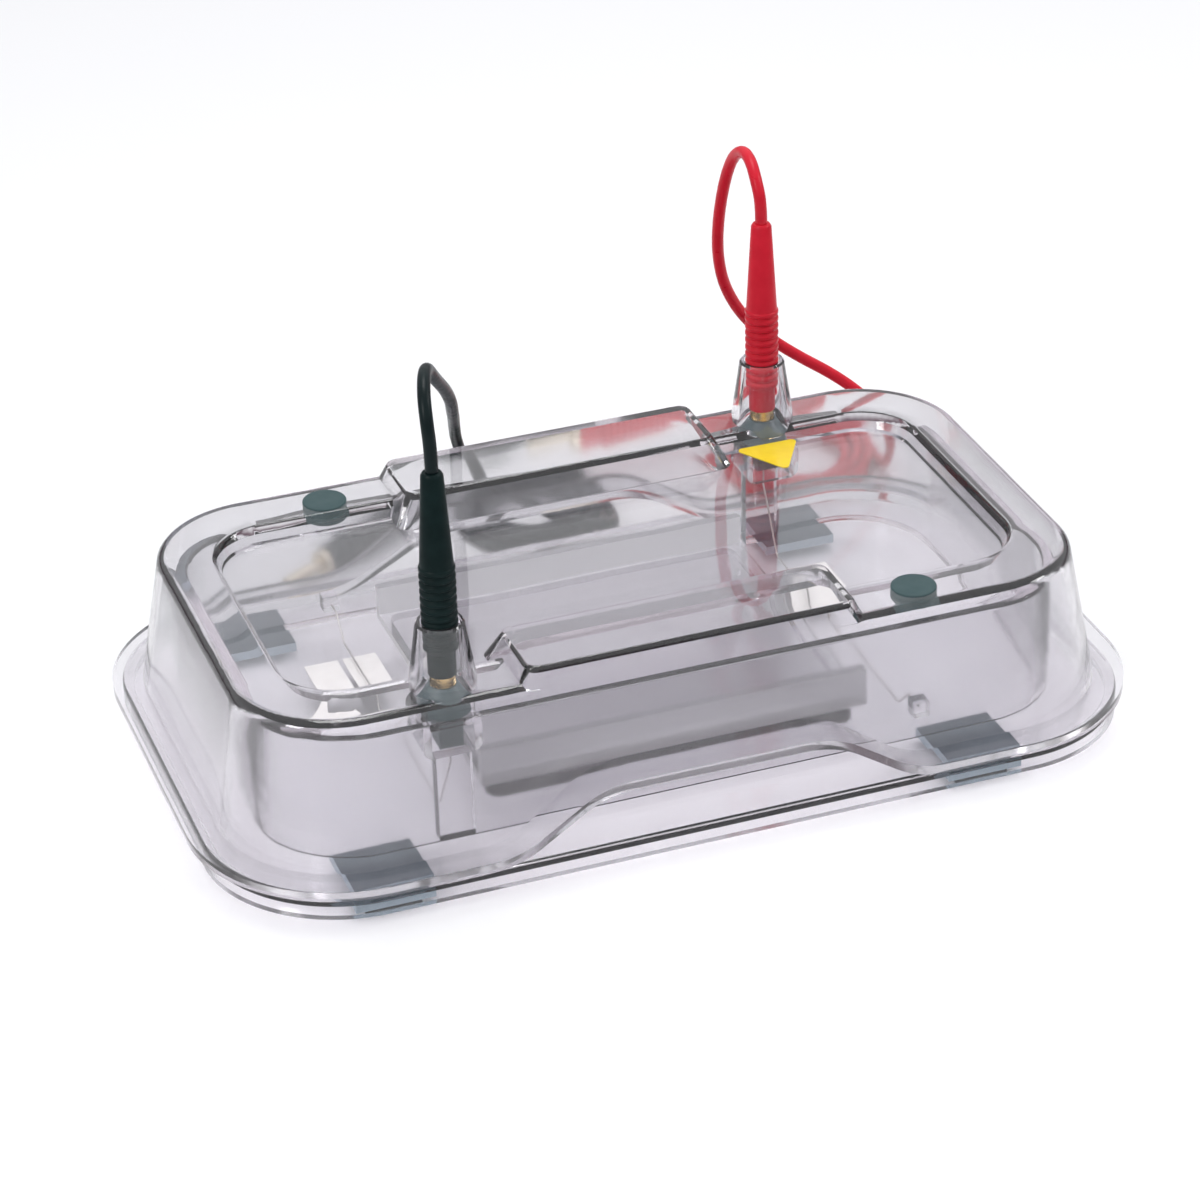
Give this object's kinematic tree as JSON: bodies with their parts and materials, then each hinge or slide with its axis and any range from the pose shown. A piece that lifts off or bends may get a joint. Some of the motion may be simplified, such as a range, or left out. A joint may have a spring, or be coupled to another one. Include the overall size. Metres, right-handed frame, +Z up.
{
  "type": "horizontal electrophoresis tank",
  "caption": "Clear bench-top gel electrophoresis tank with electrodes, gel tray, lift-off lid and plug-in power leads.",
  "frame": {"origin": "on the table, under the middle of the tank", "axes": "+X along the long side, +Y to the back, +Z up"},
  "size_m": [0.3, 0.2506, 0.1524],
  "materials": {
    "clear_tank": "clear moulded plastic, polished",
    "clear_tray": "clear plastic sheet, polished",
    "clear_lid": "clear formed plastic, polished",
    "grey_plastic": "satin grey plastic",
    "grey_rubber": "matt grey rubber",
    "black_rubber": "matt black rubber",
    "gold_plate": "gold-plated brass",
    "platinum_wire": "bright drawn wire",
    "white_film": "blank white film",
    "yellow_film": "plain yellow film",
    "black_boot": "satin black rubber",
    "red_boot": "satin red rubber",
    "black_cable": "smooth black cable sheath",
    "red_cable": "smooth red cable sheath"
  },
  "bodies": {
    "tank": {"tank": "clear_tank", "electrode_post_black": "grey_plastic", "electrode_pin_black": "gold_plate", "electrode_wire_black": "platinum_wire", "electrode_post_red": "grey_plastic", "electrode_pin_red": "gold_plate", "electrode_wire_red": "platinum_wire", "foot_block_front_left": "grey_plastic", "foot_block_front_right": "grey_plastic", "foot_block_back_left": "grey_plastic", "foot_block_back_right": "grey_plastic", "foot_pad_front_left": "black_rubber", "foot_pad_front_right": "black_rubber", "foot_pad_back_left": "black_rubber", "foot_pad_back_right": "black_rubber", "label_left_inner": "white_film", "label_left_outer": "white_film", "label_right": "white_film"},
    "gel_tray": {"gel_tray": "clear_tray"},
    "lid": {"lid": "clear_lid", "lid_tag": "yellow_film", "port_plug_left": "grey_rubber", "port_plug_right": "grey_rubber"},
    "lead_black": {"lead_boot_black": "black_boot", "lead_socket_black": "gold_plate", "cable_black": "black_cable", "coil_black": "black_cable", "supply_boot_black": "black_boot", "supply_pin_black": "gold_plate"},
    "lead_red": {"lead_boot_red": "red_boot", "lead_socket_red": "gold_plate", "cable_red": "red_cable", "coil_red": "red_cable", "supply_boot_red": "red_boot", "supply_pin_red": "gold_plate"}
  },
  "joints": [
    {"name": "lid_lift", "type": "slide", "parent": "tank", "child": "lid", "axis": [0, 0, 1], "range_m": [0, 0.12]},
    {"name": "tray_lift", "type": "slide", "parent": "tank", "child": "gel_tray", "axis": [0, 0, 1], "range_m": [0, 0.06]},
    {"name": "lead_black_pull", "type": "slide", "parent": "lid", "child": "lead_black", "axis": [0, 0, 1], "range_m": [0, 0.04]},
    {"name": "lead_red_pull", "type": "slide", "parent": "lid", "child": "lead_red", "axis": [0, 0, 1], "range_m": [0, 0.04]}
  ],
  "couplings": [
    {"joint": "tray_lift", "follows": "lid_lift", "ratio": 0.5}
  ]
}
